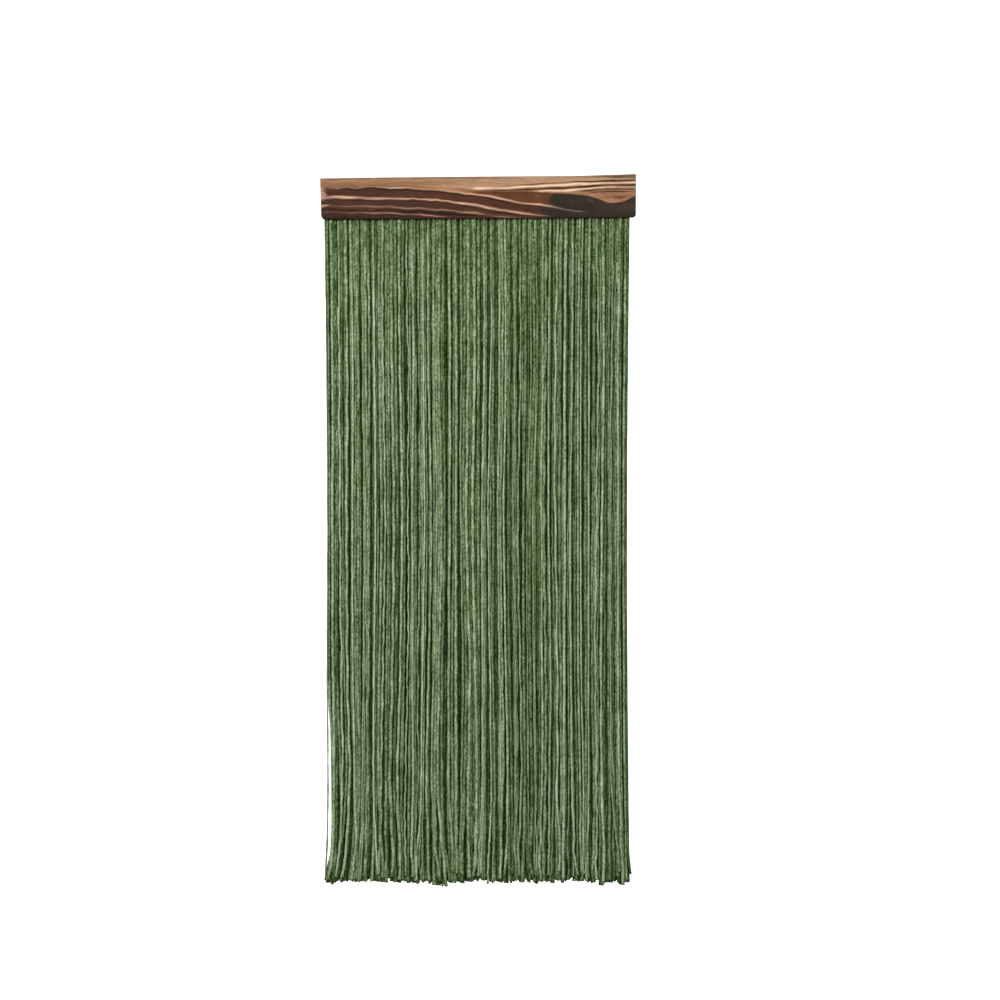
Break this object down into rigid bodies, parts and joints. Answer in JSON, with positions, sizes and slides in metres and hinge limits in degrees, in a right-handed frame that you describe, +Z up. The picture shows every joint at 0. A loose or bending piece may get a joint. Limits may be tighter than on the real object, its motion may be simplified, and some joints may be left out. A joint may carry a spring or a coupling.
{
  "type": "string curtain hung from a wooden plank",
  "caption": "Dense door curtain of free-hanging cotton strings in overlapping rows, their headings set in a rebate behind a charred wooden wall plank.",
  "frame": {"origin": "centre of the plank's flat back face, where it lies against the wall", "axes": "+Z up, +Y into the wall, the curtain faces -Y"},
  "size_m": [0.9, 0.025, 2.029],
  "materials": {
    "charred_wood": "charred and brushed, dull",
    "cotton_yarn": "soft twisted yarn, matt sage green"
  },
  "bodies": {
    "root": {"plank": "charred_wood", "strings_front": "cotton_yarn", "strings_middle": "cotton_yarn", "strings_back": "cotton_yarn"}
  },
  "joints": []
}
